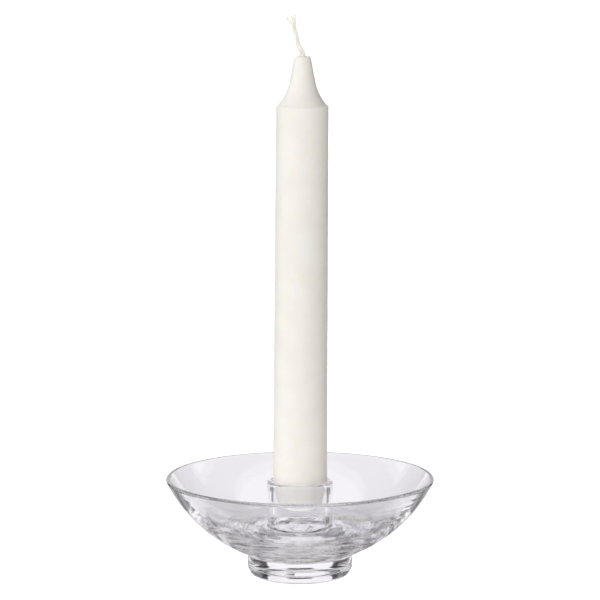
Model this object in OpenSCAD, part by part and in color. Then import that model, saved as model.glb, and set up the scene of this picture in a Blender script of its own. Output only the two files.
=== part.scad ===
// Glass candle holder: a drip bowl on a foot, with a tube socket and one crown candle.
// Millimetres, +Z up. The origin is on the table, under the centre of the bowl.
// Every glass piece is a turned form, so each is drawn as its half section and spun.

/* [Bowl] */
// Diameter over the rim
bowl_d = 110; // [100:1:120]
// Height of the rim above the table
bowl_h = 41.3; // [39:0.1:44]
// Thickness of the wall at the rim, which is melted round
rim_wall = 1.8; // [1.4:0.1:3]
// Radius of the outer wall in section
outer_arc = 61; // [58:1:70]
// Radius of the inner wall in section
inner_arc = 58; // [54:1:64]
// Thickness of the wall low down, just above the floor
low_wall = 3; // [2.2:0.1:4]
// Distance from the axis to the outside of the wall, where that thickness is measured
low_wall_r = 38; // [34:1:42]
// Thickness of the glass between the foot and the inner floor
floor_t = 8.3; // [6:0.1:10]
// Radius of the bend from the inner wall to the floor
floor_round = 5; // [3:0.5:8]

/* [Foot] */
// Diameter of the foot
foot_d = 43; // [41:0.5:48]
// Height of the foot, up to its seam with the bowl
foot_h = 10; // [8:0.5:12]
// Rounding of the lower edge
foot_round = 5; // [2:0.5:6]
// Rounding of the upper edge, at the seam
seam_round = 0.8; // [0.4:0.1:1.5]
// Diameter of the shallow hollow under the foot
hollow_d = 13; // [8:0.5:24]
// Depth of that hollow at its centre
hollow_h = 0.6; // [0.3:0.1:1.5]

/* [Socket] */
// Outer diameter of the tube
socket_d = 27.2; // [25.6:0.2:30]
// Diameter of the tube's bore
bore_d = 22; // [21.2:0.2:22]
// Height of the tube above the bowl's floor
socket_h = 21.6; // [19:0.2:23]
// Radius of the fillet where the tube is fused to the floor
weld_round = 1.2; // [0.6:0.1:2]

/* [Candle] */
// Diameter of the shaft, just above the tapered base
candle_d = 22.2; // [22.2:0.1:23]
// Diameter of the shaft at the shoulder
shoulder_d = 21.3; // [20:0.1:22]
// Length of the wax, from its base to its tip
candle_l = 186.8; // [120:0.2:300]
// Diameter of the base's underside
base_d = 16.8; // [16:0.1:18]
// Length of the tapered base
base_l = 13; // [11:0.5:16]
// Height of the crown, from the shoulder to the tip
crown_h = 19.8; // [16:0.2:24]
// Radius of the crown's hollow side in section, above the shoulder
crown_arc = 20; // [18:1:36]
// Angle of the crown's straight upper side away from the vertical
crown_draft = 11; // [4:0.5:14]
// Diameter of the crown's blunt tip, over its rounded edge
tip_d = 6.5; // [5.5:0.1:8]
// Rounding of the tip's edge
tip_round = 1.2; // [0.5:0.1:1.5]
// Rounding of the shoulder and of the base's edge
wax_round = 0.6; // [0.3:0.1:1]
// Gap between the candle and the socket's lip, where it wedges
seat_gap = 0.2; // [0.1:0.05:0.4]
// Lean of the candle to +X, in degrees
candle_lean = 0.34; // [0:0.02:0.6]

/* [Wick] */
// Diameter of the wick
wick_d = 2.4; // [1.6:0.1:3]
// Straight length of wick above the wax, before its first bend
stub_l = 0.3; // [0.2:0.1:3]
// Radius of both bends, to the middle of the wick
bend_arc = 6; // [5:0.5:12]
// Angle of the first bend, towards -X
bend_out = 22; // [5:1:40]
// Straight length between the bends
lean_l = 3; // [2:0.2:8]
// Angle of the second bend, back towards the vertical
bend_back = 9; // [0:1:20]
// Straight length above the second bend
upper_l = 6.4; // [3:0.2:9]
// Length of the two strands that the tip is frayed into
fray_l = 4; // [2:0.2:5]
// Angle of each frayed strand away from the wick
fray_tilt = 24; // [8:1:30]

/* [Hidden] */

// Straight pieces in one rounded stretch of an outline, sides of a turned form, steps in one
// bend of the wick, and sides of the wick
arc_steps = 20;
round_fn = 96;
bend_steps = 4;
wick_sides = 16;

bowl_r = bowl_d / 2;
foot_r = foot_d / 2;
floor_z = foot_h + floor_t;
lip_r = rim_wall / 2;
lip_at = [bowl_r - lip_r, bowl_h - lip_r];

socket_r = socket_d / 2;
bore_r = bore_d / 2;
socket_top = floor_z + socket_h;
socket_lip_r = (socket_r - bore_r) / 2;
socket_lip_at = [bore_r + socket_lip_r, socket_top - socket_lip_r];

candle_r = candle_d / 2;
base_r = base_d / 2;
tip_r = tip_d / 2;
shoulder_r = shoulder_d / 2;

// The candle's tapered base stops where its side comes within the seat's gap of the round lip
taper_angle = atan((candle_r - base_r) / base_l);
wedge_reach = (socket_lip_at.x - base_r) * cos(taper_angle) - socket_lip_r - seat_gap;
base_z = socket_lip_at.y - wedge_reach / sin(taper_angle);
shoulder_z = candle_l - crown_h;

// Thickness of one frayed strand, at its root and at its tip, as shares of the wick's
fray_root_share = 0.62;
fray_tip_share = 0.4;

// Points along an arc of a circle
function arc(centre, radius, from, to, steps = arc_steps) =
    [for (i = [0:steps]) let (a = from + (to - from) * i / steps)
        centre + radius * [cos(a), sin(a)]];

// Direction from one point to another, in degrees
function bearing(from, to) = atan2(to.y - from.y, to.x - from.x);

// Centre of the circle at distance r_a from point a and r_b from point b, on the left of a to b
function centre_from(a, r_a, b, r_b) =
    let (span = norm(b - a),
         along = (r_a * r_a - r_b * r_b + span * span) / (2 * span),
         off = sqrt(r_a * r_a - along * along),
         u = (b - a) / span)
    a + along * u + off * [-u.y, u.x];

// The outer wall is an arc from the foot's edge to the outside of the round lip. The inner wall is
// an arc from the inside of the lip, and its centre is set by the two thicknesses of the wall
outer_centre = centre_from([foot_r, foot_h], outer_arc, lip_at, outer_arc - lip_r);
low_wall_at = [
    low_wall_r,
    outer_centre.y - sqrt(pow(outer_arc, 2) - pow(low_wall_r - outer_centre.x, 2))];
inner_centre = centre_from(low_wall_at, inner_arc + low_wall, lip_at, inner_arc + lip_r);

// The bend into the floor touches the floor, and the inner wall from inside
bend_up = inner_centre.y - floor_z - floor_round;
floor_bend_at = [
    inner_centre.x + sqrt(pow(inner_arc - floor_round, 2) - pow(bend_up, 2)),
    floor_z + floor_round];

// Thick at the floor, thin at the rim
module bowl() {
    outside = bearing(outer_centre, lip_at);
    inside = bearing(lip_at, inner_centre);
    color([0.86, 0.87, 0.92, 0.45])
    rotate_extrude($fn = round_fn)
    polygon(concat(
        [[0, foot_h]],
        arc(outer_centre, outer_arc, bearing(outer_centre, [foot_r, foot_h]), outside),
        arc(lip_at, lip_r, outside, inside),
        arc(inner_centre, inner_arc, bearing(inner_centre, lip_at), bearing(inner_centre, floor_bend_at)),
        arc(floor_bend_at, floor_round, bearing(inner_centre, floor_bend_at), -90),
        [[0, floor_z]]));
}

// A thick disc that stands on a ring round its hollow
module foot() {
    // Radius of the sphere that the hollow is part of
    hollow_r = hollow_d / 2;
    hollow_arc = (hollow_r * hollow_r + hollow_h * hollow_h) / (2 * hollow_h);
    hollow_at = [0, hollow_h - hollow_arc];
    color([0.78, 0.78, 0.82, 0.6])
    rotate_extrude($fn = round_fn)
    polygon(concat(
        arc(hollow_at, hollow_arc, 90, bearing(hollow_at, [hollow_r, 0])),
        arc([foot_r - foot_round, foot_round], foot_round, -90, 0),
        arc([foot_r - seam_round, foot_h - seam_round], seam_round, 0, 90),
        [[0, foot_h]]));
}

// A tube with a round lip, fused to the floor with a small fillet
module candle_socket() {
    color([0.86, 0.87, 0.9, 0.5])
    rotate_extrude($fn = round_fn)
    polygon(concat(
        [[bore_r, floor_z]],
        arc([socket_r + weld_round, floor_z + weld_round], weld_round, 270, 180),
        arc(socket_lip_at, socket_lip_r, 0, 180)));
}

// Places what stands in the socket: the lean turns it about the middle of the socket's lip
module seated() {
    translate([0, 0, socket_lip_at.y])
    rotate([0, candle_lean, 0])
    translate([0, 0, base_z - socket_lip_at.y])
    children();
}

// Wax, with a fine bore that the wick fills
module candle_body() {
    // The crown's side is straight above and hollow below. The hollow arc touches the straight side
    // and ends at the shoulder, and its centre lies outside the wax
    tip_edge = [tip_r, candle_l];
    crown_foot = [shoulder_r - wax_round, shoulder_z];
    down_side = [sin(crown_draft), -cos(crown_draft)];
    off_side = [cos(crown_draft), sin(crown_draft)];
    foot_off = (crown_foot - tip_edge) * off_side;
    straight_l = (crown_foot - tip_edge) * down_side - sqrt((2 * crown_arc - foot_off) * foot_off);
    crown_centre = tip_edge + straight_l * down_side + crown_arc * off_side;
    tip_inset = tip_round * (1 - sin(crown_draft)) / cos(crown_draft);
    color([0.95, 0.94, 0.9])
    seated()
    rotate_extrude($fn = round_fn)
    polygon(concat(
        [[wick_d / 2, 0]],
        arc([base_r - wax_round, wax_round], wax_round, -90, -taper_angle),
        [[candle_r, base_l], [shoulder_r, shoulder_z - wax_round]],
        arc(crown_centre, crown_arc, 180 + bearing(crown_foot, crown_centre), 180 + crown_draft),
        arc([tip_r - tip_inset, candle_l - tip_round], tip_round, crown_draft, 90),
        [[wick_d / 2, candle_l]]));
}

// Stations along the middle of the wick, each as [x, z, tilt towards -X], from the wax's underside
function go(from, length) =
    [from.x - length * sin(from[2]), from.y + length * cos(from[2]), from[2]];
function turn(from, angle) =
    let (side = angle > 0 ? 1 : -1, to = from[2] + angle)
    [from.x - side * bend_arc * (cos(from[2]) - cos(to)),
     from.y - side * bend_arc * (sin(from[2]) - sin(to)),
     to];
function bend_stations(from, angle) = [for (i = [1:bend_steps]) turn(from, angle * i / bend_steps)];

first_bend_at = go([0, 0, 0], candle_l + stub_l);
first_bend = bend_stations(first_bend_at, bend_out);
second_bend_at = go(first_bend[bend_steps - 1], lean_l);
second_bend = bend_stations(second_bend_at, -bend_back);
fray_at = go(second_bend[bend_steps - 1], upper_l);
wick_stations = concat(
    [[0, 0, 0], first_bend_at], first_bend, [second_bend_at], second_bend, [fray_at]);

// Cotton, from the underside of the wax to the frayed tip
module wick() {
    ring = [for (i = [0:wick_sides - 1]) i * 360 / wick_sides];
    points = [for (s = wick_stations, a = ring)
        [s.x + wick_d / 2 * cos(a) * cos(s[2]), wick_d / 2 * sin(a), s.y + wick_d / 2 * cos(a) * sin(s[2])]];
    last = (len(wick_stations) - 1) * wick_sides;
    sides = [for (j = [0:len(wick_stations) - 2], i = [0:wick_sides - 1])
        let (k = (i + 1) % wick_sides, low = j * wick_sides, high = low + wick_sides)
        [low + i, high + i, high + k, low + k]];
    color([0.93, 0.91, 0.86])
    seated() {
        polyhedron(
            points,
            concat(sides, [[for (i = [0:wick_sides - 1]) i]],
                [[for (i = [0:wick_sides - 1]) last + wick_sides - 1 - i]]),
            convexity = 4);
        translate([fray_at.x, 0, fray_at.y])
        rotate([0, -fray_at[2], 0])
        for (side = [-1, 1])
            translate([side * wick_d * (1 - fray_root_share) / 2, 0, -wick_d / 2])
            rotate([0, side * fray_tilt, 0])
            cylinder(
                h = fray_l + wick_d / 2,
                d1 = wick_d * fray_root_share,
                d2 = wick_d * fray_tip_share,
                $fn = wick_sides);
    }
}

bowl();
foot();
candle_socket();
candle_body();
wick();
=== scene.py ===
# %% [markdown]
# A clear glass candle holder with one crown candle. The frame below holds its plain solids at their
# real size and place. Each step says what a piece is on the real object, how it could be made in
# Blender, and why it is made this way. Lengths are in metres, and +Z is up.

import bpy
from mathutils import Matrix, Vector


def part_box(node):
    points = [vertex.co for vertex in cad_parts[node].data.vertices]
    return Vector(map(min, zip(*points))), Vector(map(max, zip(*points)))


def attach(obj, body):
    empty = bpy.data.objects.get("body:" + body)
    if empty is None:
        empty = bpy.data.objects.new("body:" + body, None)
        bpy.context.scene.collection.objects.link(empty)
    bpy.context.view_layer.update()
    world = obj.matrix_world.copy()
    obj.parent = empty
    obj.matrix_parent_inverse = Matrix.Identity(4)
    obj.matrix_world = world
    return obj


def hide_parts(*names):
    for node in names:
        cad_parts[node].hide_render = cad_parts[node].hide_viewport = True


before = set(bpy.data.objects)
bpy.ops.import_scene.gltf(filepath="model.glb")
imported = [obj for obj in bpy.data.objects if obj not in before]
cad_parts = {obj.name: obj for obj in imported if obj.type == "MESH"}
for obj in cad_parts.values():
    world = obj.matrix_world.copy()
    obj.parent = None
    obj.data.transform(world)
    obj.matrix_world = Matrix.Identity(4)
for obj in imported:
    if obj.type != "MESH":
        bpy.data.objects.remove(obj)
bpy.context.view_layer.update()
print("The frame holds", ", ".join(sorted(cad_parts)))

# %% Modules for the pieces
import math

import bmesh
import bpy
from mathutils import Matrix, Vector

MM = 0.001
scene = bpy.context.scene

# %% [markdown]
# Sizes come first. A solid's box gives the height and width of a piece, so the looks follow the
# frame when it changes. What a box can't tell, such as a wall's thickness or the radius of a
# curved side, is written here once, in the frame's own sizes.

# %% Sizes read from the frame
def half_width(node):
    low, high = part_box(node)
    return (high.x - low.x) / 2


bowl_r = half_width("bowl")
bowl_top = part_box("bowl")[1].z
foot_r = half_width("foot")
foot_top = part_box("foot")[1].z
floor_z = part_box("candle_socket")[0].z
socket_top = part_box("candle_socket")[1].z
wax_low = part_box("candle_body")[0].z
wax_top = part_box("candle_body")[1].z
print(f"Bowl {2 * bowl_r / MM:.1f} mm wide, {bowl_top / MM:.1f} mm high; wax top at {wax_top / MM:.1f} mm")

# %% Sizes that a box can't tell
rim_wall = 1.8 * MM
outer_arc = 61 * MM
inner_arc = 58 * MM
low_wall = 3.0 * MM
low_wall_r = 38 * MM
floor_round = 5 * MM

foot_round = 5 * MM
seam_round = 0.8 * MM
hollow_r = 6.5 * MM
hollow_h = 0.6 * MM

weld_round = 1.2 * MM
socket_r = half_width("candle_socket") - weld_round
bore_r = 11 * MM
print(f"Foot {2 * foot_r / MM:.1f} mm wide, tube {2 * socket_r / MM:.1f} mm wide")

# %% [markdown]
# Every glass piece and the wax are turned forms: half of a section, spun round an axis. The real
# bowl is spun in its mould while it is hot. A section needs few points where it is straight and
# many where it bends, because glass shows every corner. These helpers give the points of arcs and
# lines, each as distance from the axis and height.

# %% Arcs and lines of a section
def arc(centre, radius, start, end, pieces):
    """Points on a circle from one angle to another, in degrees."""
    angles = [math.radians(start + (end - start) * i / pieces) for i in range(pieces + 1)]
    return [Vector((centre.x + radius * math.cos(a), centre.y + radius * math.sin(a))) for a in angles]


def line(start, end, pieces):
    return [start.lerp(end, i / pieces) for i in range(pieces + 1)]


def bearing(start, end):
    return math.degrees(math.atan2(end.y - start.y, end.x - start.x))


def centre_from(a, radius_a, b, radius_b):
    """Centre of the circle at one distance from a and another from b, on the left of a to b."""
    span = (b - a).length
    along = (radius_a**2 - radius_b**2 + span**2) / (2 * span)
    off = math.sqrt(radius_a**2 - along**2)
    way = (b - a) / span
    return a + along * way + off * Vector((-way.y, way.x))


print("A quarter circle in 4 pieces has", len(arc(Vector((0, 0)), 1, 0, 90, 4)), "points")

# %% [markdown]
# A section is more than a line: each stretch of it also says what it is. Where two gathers of hot
# glass were fused there is no surface any more, so light must pass there unbent. And glass near the
# mould and the tools is less even than fire-polished glass. A Section object collects the points with
# both facts, and turns them into a chain of edges that carries them as attributes.

# %% A section with its facts
class Section:
    def __init__(self, closed=False):
        self.points = []
        self.fused = []
        self.uneven = []
        self.closed = closed

    def add(self, points, fused=False, uneven=0.0):
        """Adds a stretch. uneven is a share from 0 to 1, or a function of a point that gives one."""
        for p in points:
            share = uneven(p) if callable(uneven) else uneven
            if self.points and (p - self.points[-1]).length < 0.001 * MM:
                self.fused[-1] = self.fused[-1] or fused
                self.uneven[-1] = min(self.uneven[-1], share)
                continue
            self.points.append(p.copy())
            self.fused.append(fused)
            self.uneven.append(share)

    def edges(self, name):
        """An object whose mesh is the chain of edges, in the XY plane."""
        count = len(self.points)
        links = [(i, i + 1) for i in range(count - 1)] + ([(count - 1, 0)] if self.closed else [])
        mesh = bpy.data.meshes.new(name)
        mesh.from_pydata([(p.x, p.y, 0) for p in self.points], links, [])
        for fact, values in (("fused", self.fused), ("uneven", self.uneven)):
            layer = mesh.attributes.new(fact, "FLOAT", "POINT")
            layer.data.foreach_set("value", [float(v) for v in values])
        return place_object(name, mesh)


def place_object(name, data):
    """Puts a mesh, lamp or camera into the scene under that name."""
    placed = bpy.data.objects.new(name, data)
    scene.collection.objects.link(placed)
    return placed


# %% [markdown]
# Node trees are built by hand here, so a few small helpers keep that readable. One adds a node and
# feeds its inputs with values or with other nodes' outputs, one does a sum, and the others are the
# few steps that nearly every tree takes.

# %% Helpers for node trees
def add_node(tree, kind, feeds=None, **settings):
    node = tree.nodes.new(kind)
    for name, value in settings.items():
        setattr(node, name, value)
    for socket, value in (feeds or {}).items():
        if isinstance(value, bpy.types.NodeSocket):
            tree.links.new(value, node.inputs[socket])
        else:
            node.inputs[socket].default_value = value
    return node


def sums(tree):
    """A function that adds one Math node to the tree and returns its output."""
    def work(operation, *values):
        return add_node(tree, "ShaderNodeMath", dict(enumerate(values)), operation=operation).outputs[0]
    return work


def ramp(tree, value, start, end, low=0.0, high=1.0):
    """Goes smoothly from low to high as value goes from start to end."""
    feeds = {0: value, 1: start, 2: end, 3: low, 4: high}
    return add_node(tree, "ShaderNodeMapRange", feeds, interpolation_type="SMOOTHSTEP").outputs[0]


def scaled(tree, vector, factor):
    feeds = {0: vector, "Scale": factor}
    return add_node(tree, "ShaderNodeVectorMath", feeds, operation="SCALE").outputs[0]


def stored(tree, name):
    """Reads back a number that was stored on the points under that name."""
    return add_node(tree, "GeometryNodeInputNamedAttribute", {"Name": name}, data_type="FLOAT").outputs[0]


def round_axis(tree, x, y, least):
    """Distance from the axis, at least that much, and the direction away from it."""
    work = sums(tree)
    r = work("SQRT", work("ADD", work("MULTIPLY", x, x), work("MULTIPLY", y, y)))
    r = work("MAXIMUM", r, least)
    feeds = {0: work("DIVIDE", x, r), 1: work("DIVIDE", y, r)}
    return r, add_node(tree, "ShaderNodeCombineXYZ", feeds).outputs[0]


# %% [markdown]
# The lathe is one Geometry Nodes tree, because every turned piece follows the same rule. A Spin in
# mesh code or a Screw modifier would do for a plain form. The tree also presses the fine
# unevenness of hot worked glass into the surface: rings that the mould's turning leaves, which
# wander a little, and wide shallow swells. Both are noise read round the axis, so no seam shows.

# %% Inputs of the lathe
def tree_with_inputs(name, inputs):
    tree = bpy.data.node_groups.new(name, "GeometryNodeTree")
    tree.interface.new_socket("Geometry", in_out="INPUT", socket_type="NodeSocketGeometry")
    for label, kind in inputs:
        tree.interface.new_socket(label, in_out="INPUT", socket_type="NodeSocket" + kind)
    tree.interface.new_socket("Geometry", in_out="OUTPUT", socket_type="NodeSocketGeometry")
    return tree


LATHE_INPUTS = [
    ("Sides", "Int"), ("Ring height", "Float"), ("Ring spacing", "Float"), ("Ring wander", "Float"),
    ("Swell height", "Float"), ("Swells", "Float"), ("Seed", "Float"),
    ("Finish", "Material"), ("Fused finish", "Material")]
lathe = tree_with_inputs("lathe", LATHE_INPUTS)
print("The lathe takes", ", ".join(label for label, kind in LATHE_INPUTS))


# %% Spin the section
def spin(tree, given):
    """Sweeps the section round a circle and merges its poles. A profile's Y points down there."""
    spindle = 10 * MM
    chain = add_node(tree, "GeometryNodeMeshToCurve", {0: given["Geometry"]})
    feeds = {0: chain.outputs[0], "Translation": (-spindle, 0, 0), "Scale": (1, -1, 1)}
    moved = add_node(tree, "GeometryNodeTransform", feeds)
    feeds = {"Resolution": given["Sides"], "Radius": spindle}
    circle = add_node(tree, "GeometryNodeCurvePrimitiveCircle", feeds)
    feeds = {"Curve": circle.outputs[0], "Profile Curve": moved.outputs[0]}
    swept = add_node(tree, "GeometryNodeCurveToMesh", feeds)
    feeds = {0: swept.outputs[0], "Distance": 0.0001 * MM}
    return add_node(tree, "GeometryNodeMergeByDistance", feeds).outputs[0]


# %% Press the unevenness into it
RING_TURN = 0.5
DRIFT_TURN = 1.6
DRIFT_PER_METRE = 60.0
SWELLS_PER_METRE = 110.0


def noise_round_axis(tree, out, turn, up, seed):
    """Noise from 0 to 1 in that direction from the axis. turn counts how fast it changes round it."""
    apart = add_node(tree, "ShaderNodeSeparateXYZ", {0: scaled(tree, out, turn)})
    at = add_node(tree, "ShaderNodeCombineXYZ", {0: apart.outputs[0], 1: apart.outputs[1], 2: up})
    feeds = {"Vector": at.outputs[0], "W": seed, "Scale": 1.0, "Detail": 1.0}
    return add_node(tree, "ShaderNodeTexNoise", feeds, noise_dimensions="4D").outputs[0]


def unevenness(tree, given):
    """How far each point moves along its normal, before the section's own share."""
    work = sums(tree)
    seed = given["Seed"]
    place = add_node(tree, "GeometryNodeInputPosition").outputs[0]
    x, y, z = add_node(tree, "ShaderNodeSeparateXYZ", {0: place}).outputs
    r, out = round_axis(tree, x, y, 0.1 * MM)
    path = work("ADD", r, z)
    drift = noise_round_axis(tree, out, DRIFT_TURN, work("MULTIPLY", path, DRIFT_PER_METRE), seed)
    wander = work("MULTIPLY", work("SUBTRACT", drift, 0.5), given["Ring wander"])
    ring_at = work("DIVIDE", work("ADD", path, wander), given["Ring spacing"])
    rings = noise_round_axis(tree, out, RING_TURN, ring_at, seed)
    swells = noise_round_axis(tree, out, given["Swells"], work("MULTIPLY", path, SWELLS_PER_METRE), seed)
    high_rings = work("MULTIPLY", work("SUBTRACT", rings, 0.5), given["Ring height"])
    high_swells = work("MULTIPLY", work("SUBTRACT", swells, 0.5), given["Swell height"])
    return work("MULTIPLY", work("ADD", high_rings, high_swells), 2.0)


# %% Finish the lathe
def build_lathe(tree):
    given = add_node(tree, "NodeGroupInput").outputs
    spun = spin(tree, given)
    normal = add_node(tree, "GeometryNodeInputNormal").outputs[0]
    far = sums(tree)("MULTIPLY", unevenness(tree, given), stored(tree, "uneven"))
    feeds = {"Geometry": spun, "Offset": scaled(tree, normal, far)}
    pressed = add_node(tree, "GeometryNodeSetPosition", feeds).outputs[0]
    solid = add_node(tree, "GeometryNodeRealizeInstances", {0: pressed}).outputs[0]
    glazed = add_node(tree, "GeometryNodeSetMaterial", {"Geometry": solid, "Material": given["Finish"]})
    feeds = {0: stored(tree, "fused"), 1: 0.9}
    inside = add_node(tree, "FunctionNodeCompare", feeds, operation="GREATER_THAN").outputs[0]
    feeds = {"Geometry": glazed.outputs[0], "Selection": inside, "Material": given["Fused finish"]}
    joined = add_node(tree, "GeometryNodeSetMaterial", feeds)
    add_node(tree, "NodeGroupOutput", {0: joined.outputs[0]})


build_lathe(lathe)
print("The lathe has", len(lathe.nodes), "nodes")


# %% [markdown]
# A modifier's input is set by its socket's identifier, which stays the same when a label changes.
# The evaluated result becomes a plain mesh, and the edge chain that carried the modifier goes.
# Doubles are merged and the faces turned outwards, because glass bends light the wrong way through
# a face that points inwards.

# %% Run a tree and keep its mesh
def run_tree(carrier, tree, name, values):
    modifier = carrier.modifiers.new(tree.name, "NODES")
    modifier.node_group = tree
    for socket in tree.interface.items_tree:
        if socket.in_out == "INPUT" and socket.name in values:
            modifier[socket.identifier] = values[socket.name]
    graph = bpy.context.evaluated_depsgraph_get()
    mesh = bpy.data.meshes.new_from_object(carrier.evaluated_get(graph), depsgraph=graph)
    bpy.data.objects.remove(carrier)
    mesh.name = name
    return place_object(name, mesh)


def face_outwards(piece, corner=35):
    """Merges doubles, turns the faces outwards and shades smooth up to that corner, in degrees."""
    shell = bmesh.new()
    shell.from_mesh(piece.data)
    bmesh.ops.remove_doubles(shell, verts=shell.verts, dist=0.0001 * MM)
    bmesh.ops.recalc_face_normals(shell, faces=shell.faces)
    open_edges = sum(1 for e in shell.edges if not e.is_manifold)
    volume = shell.calc_volume(signed=True)
    shell.to_mesh(piece.data)
    shell.free()
    piece.data.shade_smooth()
    piece.data.set_sharp_from_angle(angle=math.radians(corner))
    faces = len(piece.data.polygons)
    print(f"{piece.name}: {faces} faces, {open_edges} open edges, {volume / MM**3:.0f} mm3")
    return piece


# %% [markdown]
# A material starts empty and gets its own few nodes. These helpers add the ones that come back in
# several materials: a colour between two colours, a shader between two shaders, noise and glow.

# %% Helpers for materials
def new_material(name):
    material = bpy.data.materials.new(name)
    material.use_nodes = True
    material.node_tree.nodes.clear()
    return material, material.node_tree


def colour_between(tree, share, low, high):
    return add_node(tree, "ShaderNodeMix", {0: share, 6: low, 7: high}, data_type="RGBA").outputs[2]


def shader_between(tree, share, low, high):
    return add_node(tree, "ShaderNodeMixShader", {0: share, 1: low, 2: high}).outputs[0]


def noise(tree, place, scale, detail):
    feeds = {"Vector": place, "Scale": scale, "Detail": detail}
    return add_node(tree, "ShaderNodeTexNoise", feeds).outputs[0]


def bump(tree, height, strength, depth):
    feeds = {"Strength": strength, "Distance": depth, "Height": height}
    return add_node(tree, "ShaderNodeBump", feeds).outputs[0]


def glow(tree, colour, strength):
    return add_node(tree, "ShaderNodeEmission", {0: colour, 1: strength}).outputs[0]


# %% [markdown]
# The glass is clear, with the faint lilac cast of good soda glass. It is one Principled shader with
# full transmission, smooth as fire-polished glass is, and an index of refraction of 1.5. Its shadow
# would come out black, because a shadow ray can't bend, so shadow rays pass through a slightly grey
# Transparent shader instead.

# %% Clear glass
def clear_glass():
    material, tree = new_material("clear_glass")
    glass = add_node(tree, "ShaderNodeBsdfPrincipled", {
        "Base Color": (0.98, 0.979, 0.988, 1), "Roughness": 0.0, "IOR": 1.5, "Transmission Weight": 1.0})
    shade = add_node(tree, "ShaderNodeBsdfTransparent", {0: (0.97, 0.97, 0.98, 1)})
    in_shadow = add_node(tree, "ShaderNodeLightPath").outputs["Is Shadow Ray"]
    mixed = shader_between(tree, in_shadow, glass.outputs[0], shade.outputs[0])
    add_node(tree, "ShaderNodeOutputMaterial", {0: mixed})
    return material


# %% A fused face, which light passes unbent
def fused_glass():
    material, tree = new_material("fused_glass")
    through = add_node(tree, "ShaderNodeBsdfTransparent", {0: (1, 1, 1, 1)})
    add_node(tree, "ShaderNodeOutputMaterial", {0: through.outputs[0]})
    return material


glass, seam_glass = clear_glass(), fused_glass()
print("Materials:", glass.name, "and", seam_glass.name)


# %% Turn one piece
def turn_piece(section, name, finish, sides=240, **values):
    """One turned piece. The named values are the lathe's own inputs."""
    given = {"Sides": sides, "Finish": finish, "Fused finish": seam_glass, "Ring spacing": 1 * MM}
    given.update({label.replace("_", " ").capitalize(): value for label, value in values.items()})
    return face_outwards(run_tree(section.edges(name + "_section"), lathe, name, given))


# %% [markdown]
# The bowl: its outer wall is one arc from the foot to the round lip. The inner wall is another, set
# by two thicknesses, and a small bend leads it into the flat floor. The glass is thickest at the
# floor, and there it is least even: it works as a lens full of stripes and sparks. The walls above
# are almost true.

# %% Bowl section
lip_r = rim_wall / 2
lip_at = Vector((bowl_r - lip_r, bowl_top - lip_r))
foot_edge = Vector((foot_r, foot_top))
seam_r = foot_r - seam_round
outer_centre = centre_from(foot_edge, outer_arc, lip_at, outer_arc - lip_r)
low_wall_drop = math.sqrt(outer_arc**2 - (low_wall_r - outer_centre.x)**2)
low_wall_at = Vector((low_wall_r, outer_centre.y - low_wall_drop))
inner_centre = centre_from(low_wall_at, inner_arc + low_wall, lip_at, inner_arc + lip_r)
bend_up = inner_centre.y - floor_z - floor_round
bend_out = math.sqrt((inner_arc - floor_round)**2 - bend_up**2)
bend_at = Vector((inner_centre.x + bend_out, floor_z + floor_round))
print(f"The inner wall starts {bend_at.x / MM:.1f} mm from the axis")


# %% Where the bowl is uneven
uneven_to = 14 * MM
true_from = 21 * MM
wall_share = 0.05
tube_share = 0.3


def fade(value, start, end):
    """1 up to start, then down to 0 at end."""
    share = min(max((end - value) / (end - start), 0.0), 1.0)
    return share * share * (3 - 2 * share)


def low_glass(point):
    """Most uneven low down, nearly true at the rim, and true close to the foot's seam."""
    off_seam = 1 - fade(abs(point.x - foot_r) + abs(point.y - foot_top), 0.3 * MM, 1.5 * MM)
    return off_seam * (wall_share + (1 - wall_share) * fade(point.y, uneven_to, true_from))


def inner_floor(point):
    """Uneven on the open floor, less so inside the tube, and true at its weld."""
    away = max(point.x - socket_r - weld_round, bore_r - point.x)
    return (1 - fade(away, 0.2 * MM, 2 * MM)) * (tube_share if point.x < bore_r else 1)


# %% Turn the bowl
def bowl_section():
    outside, inside = bearing(outer_centre, lip_at), bearing(lip_at, inner_centre)
    weld_r = socket_r + weld_round
    section = Section()
    section.add(line(Vector((0, foot_top)), Vector((seam_r, foot_top)), 12), fused=True)
    section.add([foot_edge])
    wall = arc(outer_centre, outer_arc, bearing(outer_centre, foot_edge), outside, 90)
    section.add(wall, uneven=low_glass)
    section.add(arc(lip_at, lip_r, outside, inside, 14))
    wall = arc(inner_centre, inner_arc, bearing(inner_centre, lip_at), bearing(inner_centre, bend_at), 70)
    section.add(wall, uneven=low_glass)
    section.add(arc(bend_at, floor_round, bearing(inner_centre, bend_at), -90, 18), uneven=inner_floor)
    section.add(line(Vector((bend_at.x, floor_z)), Vector((weld_r, floor_z)), 40), uneven=inner_floor)
    section.add(line(Vector((weld_r, floor_z)), Vector((bore_r, floor_z)), 3), fused=True)
    section.add(line(Vector((bore_r, floor_z)), Vector((0, floor_z)), 24), uneven=inner_floor)
    return section


bowl = turn_piece(
    bowl_section(), "bowl", glass, ring_height=0.30 * MM, ring_spacing=2.0 * MM, ring_wander=1.0 * MM,
    swell_height=0.20 * MM, swells=3.4, seed=3.0)

# %% [markdown]
# The foot: a thick disc with a rounded lower edge, cast on hot. Its underside has a small, very
# shallow hollow, so that the holder stands on a ring and doesn't rock. Seen through the thick
# glass, the rounding at the back draws a dark line between two bright bands. So that rounding needs
# its true radius: a bevel that is too small would lose the bands.

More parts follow.
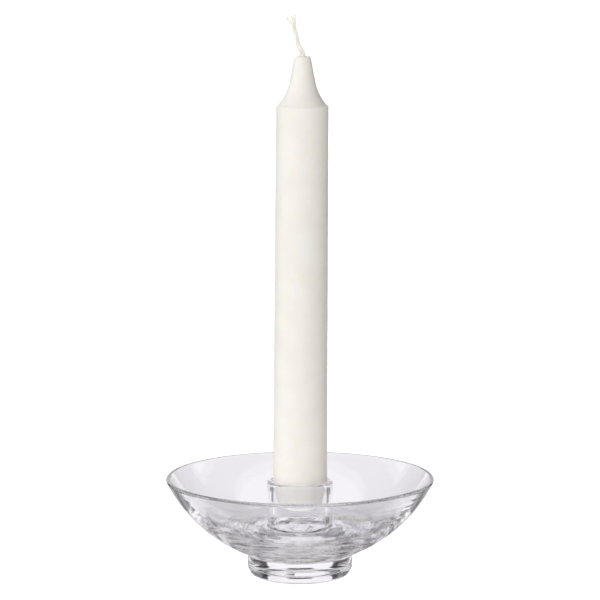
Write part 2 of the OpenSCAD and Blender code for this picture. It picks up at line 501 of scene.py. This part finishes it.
# %% Turn the foot
def foot_section():
    hollow_arc = (hollow_r**2 + hollow_h**2) / (2 * hollow_h)
    hollow_at = Vector((0, hollow_h - hollow_arc))
    ring_edge = Vector((hollow_r, 0))
    section = Section()
    section.add([Vector((0, hollow_h))])
    section.add(arc(hollow_at, hollow_arc, 90, bearing(hollow_at, ring_edge), 40)[1:], uneven=0.3)
    section.add(arc(Vector((foot_r - foot_round, foot_round)), foot_round, -90, 0, 24), uneven=0.5)
    section.add(line(Vector((foot_r, foot_round)), Vector((foot_r, foot_top - seam_round)), 12), uneven=0.7)
    section.add(arc(Vector((seam_r, foot_top - seam_round)), seam_round, 0, 90, 8))
    section.add(line(Vector((seam_r, foot_top)), Vector((0, foot_top)), 12), fused=True)
    return section


foot = turn_piece(foot_section(), "foot", glass, swell_height=0.10 * MM, swells=3.0, seed=7.0)

# %% [markdown]
# The socket: a short tube with a round lip, fused to the floor with a small fillet. Its section is
# a closed loop that never reaches the axis, so the lathe makes a ring of it.

# %% Turn the socket
def socket_section():
    tube_lip_r = (socket_r - bore_r) / 2
    tube_lip_at = Vector((bore_r + tube_lip_r, socket_top - tube_lip_r))
    weld_r = socket_r + weld_round
    weld_top = floor_z + weld_round
    section = Section(closed=True)
    section.add(line(Vector((bore_r, floor_z)), Vector((weld_r, floor_z)), 3), fused=True)
    section.add(arc(Vector((weld_r, weld_top)), weld_round, 270, 180, 8))
    section.add(line(Vector((socket_r, weld_top)), Vector((socket_r, tube_lip_at.y)), 24), uneven=0.4)
    section.add(arc(tube_lip_at, tube_lip_r, 0, 180, 16))
    section.add(line(Vector((bore_r, tube_lip_at.y)), Vector((bore_r, floor_z)), 24)[:-1], uneven=0.2)
    return section


socket = turn_piece(
    socket_section(), "candle_socket", glass, swell_height=0.08 * MM, swells=2.0, seed=11.0)

# %% [markdown]
# The wax: a crown candle is cast, then its base is shaved to a taper that wedges in the tube, and its
# top is pressed to a crown. The crown's side is straight above and hollow below, where it meets the
# shoulder. The base's corner and the shoulder are soft edges. The candle leans a third of a degree,
# as it does when it is pushed in by hand, so the spun mesh is turned about the tube's lip.

# %% Sizes of the candle
candle_r = 11.1 * MM
shoulder_r = 10.65 * MM
base_r = 8.4 * MM
base_l = 13 * MM
candle_l = 186.8 * MM
crown_h = 19.8 * MM
crown_arc = 20 * MM
crown_draft = math.radians(11)
tip_r = 3.25 * MM
tip_round = 1.2 * MM
wax_round = 0.6 * MM
wick_r = 1.2 * MM
lean = math.radians(0.34)
lean_z = socket_top - (socket_r - bore_r) / 2
seat = (
    Matrix.Translation((0, 0, lean_z)) @ Matrix.Rotation(lean, 4, "Y")
    @ Matrix.Translation((0, 0, wax_top - candle_l - lean_z)))
print(f"The wax is {candle_l / MM:.1f} mm long and starts {(wax_top - candle_l) / MM:.1f} mm up")

# %% [markdown]
# Wax is cloudy: light enters it and comes out a little further on, which Subsurface does. The cut face of
# the shaved base is whiter than the skin, and its colour is painted lighter still: painted light that makes
# up for the light the glass round it holds back. The skin has faint dents and a fine grain.

# %% Wax finish
SKIN_SHADES = ((0.905, 0.885, 0.84, 1), (0.93, 0.915, 0.875, 1))
# The shaved base's tone: its whiter cut face, with painted light on top.
SHAVED_AND_PAINTED_LIGHT_TONE = (0.975, 0.96, 0.925, 1)


def wax_finish():
    material, tree = new_material("wax")
    place = add_node(tree, "ShaderNodeTexCoord").outputs["Object"]
    clouds = ramp(tree, noise(tree, place, 90.0, 3.0), 0.35, 0.65)
    skin = colour_between(tree, clouds, *SKIN_SHADES)
    up = add_node(tree, "ShaderNodeSeparateXYZ", {0: place}).outputs[2]
    # Painted light: the shaved base inside the tube gets a lighter colour, for its cut face and for the
    # light the glass holds back.
    shaved_and_lightened = ramp(tree, up, wax_low + base_l, wax_low + base_l - 1.5 * MM)
    tone = colour_between(tree, shaved_and_lightened, skin, SHAVED_AND_PAINTED_LIGHT_TONE)
    work = sums(tree)
    grain = work("MULTIPLY", noise(tree, place, 420.0, 4.0), 0.25)
    height = work("ADD", grain, noise(tree, place, 70.0, 2.0))
    wax = add_node(tree, "ShaderNodeBsdfPrincipled", {
        "Base Color": tone, "Roughness": 0.42, "IOR": 1.44, "Normal": bump(tree, height, 0.25, 0.2 * MM),
        "Subsurface Weight": 0.7, "Subsurface Radius": (1.0, 0.85, 0.6), "Subsurface Scale": 3.0 * MM})
    add_node(tree, "ShaderNodeOutputMaterial", {0: wax.outputs[0]})
    return material


# %% Where the crown's hollow side is centred
def crown_centre(crown_foot):
    """The hollow arc touches the straight upper side and ends at the crown's foot."""
    tip_edge = Vector((tip_r, candle_l))
    down_side = Vector((math.sin(crown_draft), -math.cos(crown_draft)))
    off_side = Vector((math.cos(crown_draft), math.sin(crown_draft)))
    foot_off = (crown_foot - tip_edge).dot(off_side)
    straight_l = (crown_foot - tip_edge).dot(down_side) - math.sqrt((2 * crown_arc - foot_off) * foot_off)
    return tip_edge + straight_l * down_side + crown_arc * off_side


# %% Turn the wax
def wax_section():
    crown_foot = Vector((shoulder_r - wax_round, candle_l - crown_h))
    crown_at = crown_centre(crown_foot)
    draft = math.degrees(crown_draft)
    tip_inset = tip_round * (1 - math.sin(crown_draft)) / math.cos(crown_draft)
    tip_at = Vector((tip_r - tip_inset, candle_l - tip_round))
    tip_side = tip_at + tip_round * Vector((math.cos(crown_draft), math.sin(crown_draft)))
    taper = math.degrees(math.atan((candle_r - base_r) / base_l))
    shoulder = Vector((shoulder_r - wax_round, candle_l - crown_h - wax_round))
    section = Section(closed=True)
    section.add(line(Vector((wick_r, 0)), Vector((base_r - wax_round, 0)), 8))
    section.add(arc(Vector((base_r - wax_round, wax_round)), wax_round, -90, -taper, 8))
    section.add(line(Vector((base_r, wax_round)), Vector((candle_r, base_l)), 12), uneven=0.6)
    section.add(line(Vector((candle_r, base_l)), Vector((shoulder_r, shoulder.y)), 110), uneven=1.0)
    section.add(arc(shoulder, wax_round, 0, 62, 6))
    section.add(arc(crown_at, crown_arc, 180 + bearing(crown_foot, crown_at), 180 + draft, 40), uneven=0.5)
    section.add(line(section.points[-1], tip_side, 12))
    section.add(arc(tip_at, tip_round, draft, 90, 10))
    section.add(line(Vector((tip_at.x, candle_l)), Vector((wick_r, candle_l)), 4))
    section.add(line(Vector((wick_r, candle_l)), Vector((wick_r, 0)), 30)[:-1])
    return section


candle = turn_piece(
    wax_section(), "candle_body", wax_finish(), sides=128, swell_height=0.10 * MM, swells=1.5, seed=5.0)
candle.data.transform(seat)

# %% [markdown]
# The wick: cotton yarns, plaited in three loose strands. It leaves the wax, leans left, and its cut
# end has opened into a fan. A texture on a tube would look moulded, so every yarn is a tube of its
# own. Yarns follow one path by a rule, which is work for Geometry Nodes: the path is duplicated once
# for each yarn, each copy is pushed aside by the plait, and at the end by the fan. First comes the
# path: a root in the wax, a bend to the left, a straight piece, a bend back and the long end.

# %% Path of the wick
root_l = 2 * MM
stem_l = 1.3 * MM
wick_bend = 6 * MM
lean_out, lean_back = 22, 9
slant_l = 3.4 * MM
end_l = 10.9 * MM


def bend_steps(angle, pieces):
    """Steps of a bend, each with its length and turn in degrees."""
    return [(wick_bend * math.radians(abs(angle)) / pieces, angle / pieces)] * pieces


def wick_path():
    """Points up the middle of the wick, in the candle's own frame, from inside the wax."""
    steps = [(stem_l, 0)] + bend_steps(lean_out, 8) + [(slant_l / 4, 0)] * 4
    steps += bend_steps(-lean_back, 4) + [(end_l / 12, 0)] * 12
    at, tilt = Vector((0, 0, candle_l - root_l)), 0.0
    points = [at.copy()]
    for length, turn in steps:
        tilt += turn
        at += length * Vector((-math.sin(math.radians(tilt)), 0, math.cos(math.radians(tilt))))
        points.append(at.copy())
    return points


path_mesh = bpy.data.meshes.new("wick_path")
path_points = wick_path()
path_mesh.from_pydata(path_points, [(i, i + 1) for i in range(len(path_points) - 1)], [])
path = place_object("wick_path", path_mesh)
print(f"The wick's free end is {(path_points[-1].z - candle_l) / MM:.1f} mm above the wax")

# %% Inputs of the yarn tree
YARN_INPUTS = [
    ("Strands", "Int"), ("Yarns", "Int"), ("Yarn radius", "Float"), ("Strand radius", "Float"),
    ("Plait width", "Float"), ("Plait depth", "Float"), ("Plaits", "Float"), ("Yarn turns", "Float"),
    ("Fan from", "Float"), ("Fan width", "Float"), ("Seed", "Int"), ("Finish", "Material")]
yarns = tree_with_inputs("yarns", YARN_INPUTS)


# %% Where each yarn runs
# Shares of the fan's width: from strand to strand, of the first one to the left, and of single yarns.
STRANDS_APART = 0.9
FIRST_STRAND = 0.95
YARNS_APART = 0.55
YARNS_DEEP = 0.4


def whole_turns(tree, along, turns, number, count):
    """An angle that goes round so many times along the path, and starts at its own share of a turn."""
    work = sums(tree)
    share = work("ADD", work("MULTIPLY", along, turns), work("DIVIDE", number, count))
    return work("MULTIPLY", 2 * math.pi, share)


def yarn_offset(tree, given, number, along):
    """Sideways offset of a yarn, across and through the wick, at that share of the path."""
    work = sums(tree)
    strand = work("FLOOR", work("DIVIDE", number, given["Yarns"]))
    yarn = work("MODULO", number, given["Yarns"])
    phase = whole_turns(tree, along, given["Plaits"], strand, given["Strands"])
    across = work("MULTIPLY", work("SINE", phase), given["Plait width"])
    through = work("MULTIPLY", work("SINE", work("MULTIPLY", phase, 2.0)), given["Plait depth"])
    twist = whole_turns(tree, along, given["Yarn turns"], yarn, given["Yarns"])
    across = work("ADD", across, work("MULTIPLY", work("COSINE", twist), given["Strand radius"]))
    through = work("ADD", through, work("MULTIPLY", work("SINE", twist), given["Strand radius"]))
    return across, through, strand


def random_between(tree, low, high, number, seed):
    feeds = {2: low, 3: high, "ID": number, "Seed": seed}
    return add_node(tree, "FunctionNodeRandomValue", feeds, data_type="FLOAT").outputs[1]


def fan_offset(tree, given, number, along, strand):
    """The open end: the strands go left, straight on and right, each yarn of them a little apart."""
    work = sums(tree)
    side = work("SUBTRACT", work("MULTIPLY", strand, STRANDS_APART), FIRST_STRAND)
    apart = random_between(tree, -YARNS_APART, YARNS_APART, number, given["Seed"])
    deep = random_between(tree, -YARNS_DEEP, YARNS_DEEP, number, work("ADD", given["Seed"], 1))
    width = work("MULTIPLY", given["Fan width"], ramp(tree, along, given["Fan from"], 1.0))
    return work("MULTIPLY", width, work("ADD", side, apart)), work("MULTIPLY", width, deep)


# %% Copies of the path, pushed to their places
def copied_path(tree, given):
    """One fine copy of the path for each yarn, and the number that each copy carries."""
    curve = add_node(tree, "GeometryNodeMeshToCurve", {0: given["Geometry"]}).outputs[0]
    fine = add_node(tree, "GeometryNodeResampleCurve", {0: curve, "Count": 70}).outputs[0]
    feeds = {"Geometry": fine, "Amount": sums(tree)("MULTIPLY", given["Strands"], given["Yarns"])}
    copies = add_node(tree, "GeometryNodeDuplicateElements", feeds, domain="SPLINE").outputs
    feeds = {"Geometry": copies[0], "Name": "yarn", "Value": copies["Duplicate Index"]}
    kept = add_node(tree, "GeometryNodeStoreNamedAttribute", feeds, data_type="FLOAT", domain="CURVE")
    return kept.outputs[0], stored(tree, "yarn")


def pushed_aside(tree, curves, sideways, inwards):
    up = add_node(tree, "GeometryNodeInputTangent").outputs[0]
    deep = (0.0, 1.0, 0.0)
    side = add_node(tree, "ShaderNodeVectorMath", {0: deep, 1: up}, operation="CROSS_PRODUCT").outputs[0]
    feeds = {0: scaled(tree, side, sideways), 1: scaled(tree, deep, inwards)}
    push = add_node(tree, "ShaderNodeVectorMath", feeds, operation="ADD").outputs[0]
    return add_node(tree, "GeometryNodeSetPosition", {"Geometry": curves, "Offset": push}).outputs[0]


# %% [markdown]
# The strands draw closer on their way up, and every yarn is cut at its own length. A small circle
# swept along each curve makes the tube, with its ends closed.

# %% Build the yarn tree
draw_from, draw_to = 0.12, 0.5
loose, drawn = 1.25, 0.76
shortest_yarn = 0.95


def build_yarns(tree):
    work = sums(tree)
    given = add_node(tree, "NodeGroupInput").outputs
    curves, number = copied_path(tree, given)
    along = add_node(tree, "GeometryNodeSplineParameter").outputs["Factor"]
    across, through, strand = yarn_offset(tree, given, number, along)
    fan_across, fan_through = fan_offset(tree, given, number, along, strand)
    taper = ramp(tree, along, draw_from, draw_to, loose, drawn)
    sideways = work("ADD", work("MULTIPLY", across, taper), fan_across)
    inwards = work("ADD", work("MULTIPLY", through, taper), fan_through)
    laid = pushed_aside(tree, curves, sideways, inwards)
    cut = random_between(tree, shortest_yarn, 1.0, number, work("ADD", given["Seed"], 2))
    trimmed = add_node(tree, "GeometryNodeTrimCurve", {"Curve": laid, "End": cut}, mode="FACTOR").outputs[0]
    feeds = {"Resolution": 8, "Radius": given["Yarn radius"]}
    ring = add_node(tree, "GeometryNodeCurvePrimitiveCircle", feeds).outputs[0]
    feeds = {"Curve": trimmed, "Profile Curve": ring, "Fill Caps": True}
    tubes = add_node(tree, "GeometryNodeCurveToMesh", feeds).outputs[0]
    solid = add_node(tree, "GeometryNodeRealizeInstances", {0: tubes}).outputs[0]
    finished = add_node(tree, "GeometryNodeSetMaterial", {"Geometry": solid, "Material": given["Finish"]})
    add_node(tree, "NodeGroupOutput", {0: finished.outputs[0]})


build_yarns(yarns)
print("The yarn tree has", len(yarns.nodes), "nodes")

# %% [markdown]
# Cotton is dull and fibrous, and light from behind passes through thin yarns. Subsurface gives a part of
# that, and a little painted glow stands in for the rest of that backlight, so the wick stays cream against
# white paper.

# %% Cotton finish
COTTON_SHADES = ((0.95, 0.92, 0.84, 1), (1.0, 0.985, 0.93, 1))
COTTON_PAINTED_BACKLIGHT = (1.0, 0.96, 0.84, 1)


def cotton_finish():
    material, tree = new_material("cotton")
    place = add_node(tree, "ShaderNodeTexCoord").outputs["Object"]
    fibres = noise(tree, place, 2500.0, 3.0)
    tone = colour_between(tree, ramp(tree, fibres, 0.3, 0.7), *COTTON_SHADES)
    # The Emission here is painted backlight: a faint cream glow for light that passes through the yarns
    # from behind.
    cotton = add_node(tree, "ShaderNodeBsdfPrincipled", {
        "Base Color": tone, "Roughness": 0.85, "Normal": bump(tree, fibres, 0.3, 0.06 * MM),
        "Subsurface Weight": 0.6, "Subsurface Radius": (1.0, 0.9, 0.75), "Subsurface Scale": 0.5 * MM,
        "Emission Color": COTTON_PAINTED_BACKLIGHT, "Emission Strength": 0.10})
    add_node(tree, "ShaderNodeOutputMaterial", {0: cotton.outputs[0]})
    return material


# %% Lay the yarns
wick = run_tree(path, yarns, "wick", {
    "Strands": 3, "Yarns": 16, "Yarn radius": 0.21 * MM, "Strand radius": 0.42 * MM,
    "Plait width": 0.55 * MM, "Plait depth": 0.3 * MM, "Plaits": 1.1, "Yarn turns": 0.8,
    "Fan from": 0.77, "Fan width": 1.8 * MM, "Seed": 4, "Finish": cotton_finish()})


# %% The wick inside the wax
def wick_core(mesh):
    """Adds the round core that the wax holds, from its underside to just below its tip."""
    shell = bmesh.new()
    shell.from_mesh(mesh)
    depth, core_r = candle_l - 1 * MM, 0.98 * wick_r
    middle = Matrix.Translation((0, 0, depth / 2))
    bmesh.ops.create_cone(
        shell, cap_ends=True, segments=16, radius1=core_r, radius2=core_r, depth=depth, matrix=middle)
    shell.to_mesh(mesh)
    shell.free()


wick_core(wick.data)
face_outwards(wick, corner=50)
wick.data.transform(seat)

# %% [markdown]
# The studio. Clear glass shows nothing but what stands around it, so the studio is most of its
# looks. Photographers light glass from a bright sheet behind it, and put dark boards at both ends of
# the sheet, which draw the dark lines at the edges of the tube and the foot. Here the sky and the
# table hold that pattern as steps of brightness. The camera itself sees plain white.

# %% The pattern round the object
# Each pair is a direction in degrees away from straight behind, and the brightness from there on.
# A ring of the sky has a height too, where it starts: the sine of its angle above the table.
HORIZON = [(0, 1.0), (28, 0.04), (62, 0.85)]
SKY_RINGS = [
    (0.10, [(0, 0.95), (28, 0.05), (36, 0.30), (62, 0.85)]),
    (0.21, [(0, 1.00), (29, 0.03), (62, 1.05), (95, 0.85)]),
    (0.30, [(0, 0.05), (10, 1.00), (29, 0.03), (62, 1.05), (95, 0.85)]),
    (0.47, [(0, 0.05), (10, 0.35), (36, 0.04), (140, 0.25)]),
    (0.77, [(0, 1.00)]),
    (0.96, [(0, 0.14)])]
# A ring of the table has the distance where it starts, and how softly it starts.
TABLE_RINGS = [
    (0.061, 0.004, [(0, 0.60), (31, 0.60), (60, 1.35)]),
    (0.105, 0.015, [(0, 0.92), (31, 0.95), (60, 0.80), (110, 0.33)]),
    (0.132, 0.004, [(0, 0.92), (31, 0.95), (45, 0.25), (60, 0.60), (110, 0.33)]),
    (0.150, 0.005, [(0, 0.92), (31, 0.20), (60, 0.60), (110, 0.33)])]
UNDER_FOOT = [(0, 0.95), (60, 0.35), (110, 0.95)]
# Under the bowl a pair is a distance from the axis and the brightness from there on: a painted shadow of
# the bowl, darker near the foot.
BOWL_SHADOW_STEPS = [(0, 0.24), (0.035, 0.44)]
PATTERN_TINT = (1.0, 0.985, 1.02, 1)


def blend_levels(tree, share, low, high):
    """low where share is 0, high where it is 1."""
    feeds = {0: share, 2: low, 3: high}
    return add_node(tree, "ShaderNodeMix", feeds, data_type="FLOAT").outputs[0]


def stepped(tree, value, steps, soft):
    """Brightness that changes softly at each step. A step is a value and the level from there on."""
    level = steps[0][1]
    for start, next_level in steps[1:]:
        level = blend_levels(tree, ramp(tree, value, start - soft, start + soft), level, next_level)
    return level


def degrees_away(tree, x, y):
    work = sums(tree)
    return work("DEGREES", work("ABSOLUTE", work("ARCTAN2", x, y)))


# %% [markdown]
# Wax and paper need a light of their own: a soft one, bright on the left, and warm and nearly dark
# on the right. A ray that has bounced off something dull before reads that one, also where it comes
# through glass. The Light Path node counts such bounces.

# %% World
SOFT_EDGE = 1.5
SOFT_RING = 0.02
SOFT_LEFT = (0.85, 0.835, 0.81, 1)
SOFT_RIGHT = (0.12, 0.095, 0.07, 1)
WHITE = (1, 1, 1, 1)


def sky_light(tree, colour, strength):
    return add_node(tree, "ShaderNodeBackground", {0: colour, 1: strength}).outputs[0]


def ray_facts(tree):
    """1 for a ray from the camera, and 1 for a ray that has bounced off something dull."""
    ray = add_node(tree, "ShaderNodeLightPath").outputs
    return ray["Is Camera Ray"], sums(tree)("MINIMUM", ray["Diffuse Depth"], 1.0)


def studio_world():
    world = bpy.data.worlds.new("studio")
    scene.world = world
    world.use_nodes = True
    tree = world.node_tree
    tree.nodes.clear()
    way = add_node(tree, "ShaderNodeTexCoord").outputs["Generated"]
    x, y, z = add_node(tree, "ShaderNodeSeparateXYZ", {0: way}).outputs
    away = degrees_away(tree, x, y)
    level = stepped(tree, away, HORIZON, SOFT_EDGE)
    for height, steps in SKY_RINGS:
        ring = stepped(tree, away, steps, SOFT_EDGE)
        level = blend_levels(tree, ramp(tree, z, height - SOFT_RING, height + SOFT_RING), level, ring)
    seen = sky_light(tree, PATTERN_TINT, level)
    soft = sky_light(tree, colour_between(tree, ramp(tree, x, -0.45, 0.4), SOFT_LEFT, SOFT_RIGHT), 1.0)
    from_camera, dull = ray_facts(tree)
    lit = shader_between(tree, dull, seen, soft)
    shown = shader_between(tree, from_camera, lit, sky_light(tree, WHITE, 1.0))
    add_node(tree, "ShaderNodeOutputWorld", {0: shown})


studio_world()
print("The sky has", len(SKY_RINGS), "rings above its horizon")

# %% [markdown]
# Under the bowl the table isn't even: the glass gathers light there in bright and dark streaks, with
# cream and blue edges. Tracing such caustics would take very long, so noise read round the axis
# stands in for them, on both sides of the foot and in front of it. Behind the foot and further out
# the table keeps to its rings.

# %% The table as the glass sees it
STREAK_TURN = 2.6
STREAKS_PER_METRE = 210.0
DARK_STREAK, BRIGHT_STREAK, EVEN_LEVEL = 0.12, 1.95, 1.2
SPECKLE_TURN = 6.0
SPECKLES_PER_METRE = 900.0
WARM_GLINT = (1.06, 0.98, 0.84, 1)
COOL_GLINT = (0.89, 0.93, 1.14, 1)
FOOT_SHADE_R = 0.018
FOOT_SHADE_END_R = 0.022


def table_level(tree, r, away, out):
    work = sums(tree)
    caught = noise_round_axis(tree, out, STREAK_TURN, work("MULTIPLY", r, STREAKS_PER_METRE), 1.0)
    streaks = ramp(tree, caught, 0.43, 0.57, DARK_STREAK, BRIGHT_STREAK)
    behind = work("MULTIPLY", ramp(tree, r, 0.033, 0.037), ramp(tree, away, 50, 35))
    glints = blend_levels(tree, behind, streaks, EVEN_LEVEL)
    # A painted shadow of the bowl dims the streaks under it.
    glints = work("MULTIPLY", stepped(tree, r, BOWL_SHADOW_STEPS, 0.003), glints)
    under_foot = stepped(tree, away, UNDER_FOOT, 6)
    level = blend_levels(tree, ramp(tree, r, FOOT_SHADE_R, FOOT_SHADE_END_R), under_foot, glints)
    for start, soft, steps in TABLE_RINGS:
        ring = stepped(tree, away, steps, 2)
        level = blend_levels(tree, ramp(tree, r, start - soft, start + soft), level, ring)
    return level


def table_tint(tree, r, out):
    """Cream and blue under the bowl, plain under the foot and further out."""
    work = sums(tree)
    speckle = noise_round_axis(tree, out, SPECKLE_TURN, work("MULTIPLY", r, SPECKLES_PER_METRE), 5.0)
    glint = colour_between(tree, ramp(tree, speckle, 0.42, 0.58), WARM_GLINT, COOL_GLINT)
    plain = work("MAXIMUM", ramp(tree, r, FOOT_SHADE_END_R, FOOT_SHADE_R), ramp(tree, r, 0.05, 0.06))
    return colour_between(tree, plain, glint, PATTERN_TINT)


# %% Table
PAPER = (0.75, 0.745, 0.74, 1)
NEAR_LIGHT = (1.0, 0.95, 0.87, 1)


def table_finish():
    """White paper for the camera, the pattern of painted light and shadow for the glass, and warm light
    from below for the wax.
    """
    material, tree = new_material("table")
    place = add_node(tree, "ShaderNodeTexCoord").outputs["Object"]
    x, y, z = add_node(tree, "ShaderNodeSeparateXYZ", {0: place}).outputs
    r, out = round_axis(tree, x, y, MM)
    away = degrees_away(tree, x, y)
    seen = glow(tree, table_tint(tree, r, out), table_level(tree, r, away, out))
    paper = add_node(tree, "ShaderNodeBsdfDiffuse", {0: PAPER}).outputs[0]
    white = glow(tree, WHITE, ramp(tree, r, 0.03, 0.3, 0.75, 1.0))
    lit_paper = add_node(tree, "ShaderNodeAddShader", {0: paper, 1: white}).outputs[0]
    near_light = glow(tree, NEAR_LIGHT, ramp(tree, r, 0.06, 0.12, 0.75, 0.12))
    for_wax = add_node(tree, "ShaderNodeAddShader", {0: paper, 1: near_light}).outputs[0]
    from_camera, dull = ray_facts(tree)
    shown = shader_between(tree, from_camera, shader_between(tree, dull, seen, for_wax), lit_paper)
    add_node(tree, "ShaderNodeOutputMaterial", {0: shown})
    return material


def lay_table(half=9.0):
    mesh = bpy.data.meshes.new("table")
    corners = [(-half, -half, 0), (half, -half, 0), (half, half, 0), (-half, half, 0)]
    mesh.from_pydata(corners, [], [(0, 1, 2, 3)])
    mesh.materials.append(table_finish())
    return place_object("table", mesh)


table = lay_table()
print("The table has", len(TABLE_RINGS), "rings round the bowl")

# %% [markdown]
# One large soft lamp stands in front, a little to the left. It models the round of the candle:
# brightest left of the middle, darker and warmer on the right. The glass doesn't mirror it, because
# its reflections come from the studio's pattern alone.

# %% Key lamp
def add_lamp(name, place, aim, size, energy, colour):
    lamp = bpy.data.lights.new(name, "AREA")
    lamp.energy = energy
    lamp.size = size
    lamp.color = colour
    holder = place_object(name, lamp)
    holder.location = place
    holder.rotation_euler = (Vector(aim) - Vector(place)).to_track_quat("-Z", "Y").to_euler()
    holder.visible_glossy = False
    holder.visible_transmission = False
    return holder


key = add_lamp(
    "key_lamp", place=(-0.28, -1.40, 0.80), aim=(0, 0, 0.12), size=0.7, energy=9.2,
    colour=(0.99, 0.99, 0.99))
print("The key lamp stands", round(key.location.length, 2), "m away")

# %% [markdown]
# The camera. The height, distance and lens were worked out from the ellipses of the rim, the tube and
# the foot: the object is seen from 1.3 metres, a little from above, through a long lens.

# %% Camera
def add_camera():
    lens = bpy.data.cameras.new("camera")
    lens.sensor_width = 36
    lens.lens = 193.49
    lens.clip_end = 50
    camera = place_object("camera", lens)
    camera.location = (0, -1.3, 0.3059)
    camera.rotation_euler = (math.radians(90 - 8.37), 0, 0)
    scene.camera = camera


add_camera()
scene.view_settings.view_transform = "Standard"

# %% [markdown]
# Light is caught inside a glass wall and leaves it at the rim or the foot after many bounces. Where
# the path of a ray is cut short, the glass turns black, so the limits go up for this object.

# %% Bounces inside the glass
scene.cycles.max_bounces = 40
scene.cycles.glossy_bounces = 32
scene.cycles.transmission_bounces = 32
scene.cycles.transparent_max_bounces = 24
print("A ray may bounce", scene.cycles.max_bounces, "times")

# %% [markdown]
# Last, each piece is listed with the solid it stands for, the body it moves with and the slot of materials
# it belongs to. It is tied to that body, and the solid is hidden. The holder stays, and the candle lifts
# out of the tube.

# %% Tie the pieces to the frame
PIECES = [
    (bowl, "bowl", "holder", "clear_glass"),
    (foot, "foot", "holder", "clear_glass"),
    (socket, "candle_socket", "holder", "clear_glass"),
    (candle, "candle_body", "candle", "wax"),
    (wick, "wick", "candle", "cotton")]
for piece, node, body, slot in PIECES:
    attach(piece, body)
    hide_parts(node)
    print(f"{piece.name} stands for {node} and moves with {body}")
